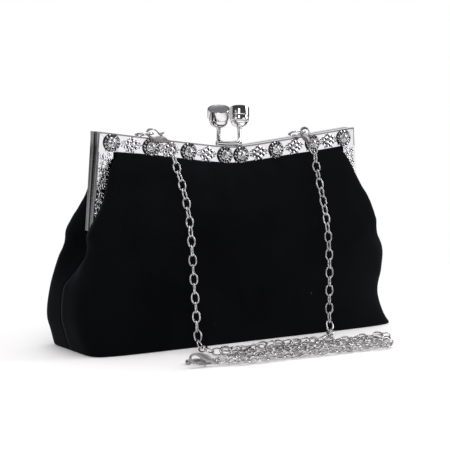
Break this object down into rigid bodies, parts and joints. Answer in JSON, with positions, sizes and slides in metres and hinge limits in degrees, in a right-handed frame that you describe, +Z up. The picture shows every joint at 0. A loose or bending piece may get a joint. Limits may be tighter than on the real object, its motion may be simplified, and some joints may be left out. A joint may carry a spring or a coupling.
{
  "type": "evening bag",
  "caption": "Soft velvet evening clutch on a hinged metal kiss-lock frame with flower trim, clasped-on chain and goblet-shaped knobs.",
  "frame": {"origin": "on the ground, in the middle of the pouch's bottom", "axes": "+X along the frame, to the right seen from the front; -Y is the front; +Z up"},
  "size_m": [0.2488, 0.1286, 0.1619],
  "materials": {
    "polished_nickel": "polished nickel plating",
    "chain_nickel": "polished nickel plating on wire links",
    "crystal_flowers": "polished settings with clear faceted stones",
    "cup_disc": "satin grey metal",
    "black_velvet": "short-pile velvet",
    "satin_lining": "satin weave",
    "board": "plain grey board and felt",
    "paper_cord": "twisted paper cord"
  },
  "bodies": {
    "front_half": {"front_frame": "polished_nickel", "left_hinge_rivet": "polished_nickel", "right_hinge_rivet": "polished_nickel", "left_leg_trim": "polished_nickel", "right_leg_trim": "polished_nickel", "front_knob_arm": "polished_nickel", "front_knob_cup": "polished_nickel", "left_chain_loop": "polished_nickel", "right_chain_loop": "polished_nickel", "left_clasp_body": "polished_nickel", "left_clasp_pin": "polished_nickel", "left_clasp_eye": "polished_nickel", "right_clasp_body": "polished_nickel", "right_clasp_pin": "polished_nickel", "right_clasp_eye": "polished_nickel", "floor_clasp_body": "polished_nickel", "floor_clasp_pin": "polished_nickel", "floor_clasp_eye": "polished_nickel", "end_clasp_body": "polished_nickel", "end_clasp_pin": "polished_nickel", "end_clasp_eye": "polished_nickel", "left_chain_drop": "chain_nickel", "right_chain_drop": "chain_nickel", "long_chain_hank": "chain_nickel", "short_chain_hank": "chain_nickel", "big_flower_1": "crystal_flowers", "big_flower_2": "crystal_flowers", "big_flower_3": "crystal_flowers", "big_flower_4": "crystal_flowers", "big_flower_5": "crystal_flowers", "big_flower_6": "crystal_flowers", "big_flower_7": "crystal_flowers", "big_flower_8": "crystal_flowers", "small_flower_1": "crystal_flowers", "small_flower_2": "crystal_flowers", "small_flower_3": "crystal_flowers", "small_flower_4": "crystal_flowers", "small_flower_5": "crystal_flowers", "small_flower_6": "crystal_flowers", "front_knob_disc": "cup_disc", "velvet_pouch": "black_velvet", "front_velvet_panel": "black_velvet", "lining_pouch": "satin_lining", "front_lining_panel": "satin_lining", "slip_pocket": "satin_lining", "base_board": "board", "front_stiffener": "board", "rear_stiffener": "board", "front_channel_cord": "paper_cord"},
    "rear_half": {"rear_frame": "polished_nickel", "rear_channel_cord": "paper_cord", "rear_knob_arm": "polished_nickel", "rear_knob_cup": "polished_nickel", "rear_knob_disc": "cup_disc", "rear_velvet_panel": "black_velvet", "rear_lining_panel": "satin_lining"},
    "left_lever": {"left_clasp_lever": "polished_nickel"},
    "right_lever": {"right_clasp_lever": "polished_nickel"},
    "floor_lever": {"floor_clasp_lever": "polished_nickel"},
    "end_lever": {"end_clasp_lever": "polished_nickel"}
  },
  "joints": [
    {"name": "frame_hinge", "type": "hinge", "parent": "front_half", "child": "rear_half", "pos_m": [0, 0, 0.075], "axis": [-1, 0, 0], "range_deg": [0, 70], "deforming": ["rear_velvet_panel", "rear_lining_panel"]},
    {"name": "left_lever_pivot", "type": "hinge", "parent": "front_half", "child": "left_lever", "pos_m": [-0.05793, -0.01272, 0.14211], "axis": [-0.4397, -0.8898, 0.1221], "range_deg": [0, 12], "stiffness_Nm_per_rad": 0.0008, "springref_deg": -8.59},
    {"name": "right_lever_pivot", "type": "hinge", "parent": "front_half", "child": "right_lever", "pos_m": [0.05688, -0.01465, 0.13948], "axis": [-0.5832, -0.4661, 0.6653], "range_deg": [0, 12], "stiffness_Nm_per_rad": 0.0008, "springref_deg": -8.59},
    {"name": "floor_lever_pivot", "type": "hinge", "parent": "front_half", "child": "floor_lever", "pos_m": [-0.06162, -0.08207, 0.00303], "axis": [0.0861, 0.9223, -0.3768], "range_deg": [0, 12], "stiffness_Nm_per_rad": 0.0008, "springref_deg": -8.59},
    {"name": "end_lever_pivot", "type": "hinge", "parent": "front_half", "child": "end_lever", "pos_m": [-0.06004, -0.07515, 0.00151], "axis": [0, 0, -1], "range_deg": [0, 12], "stiffness_Nm_per_rad": 0.0008, "springref_deg": -8.59}
  ]
}
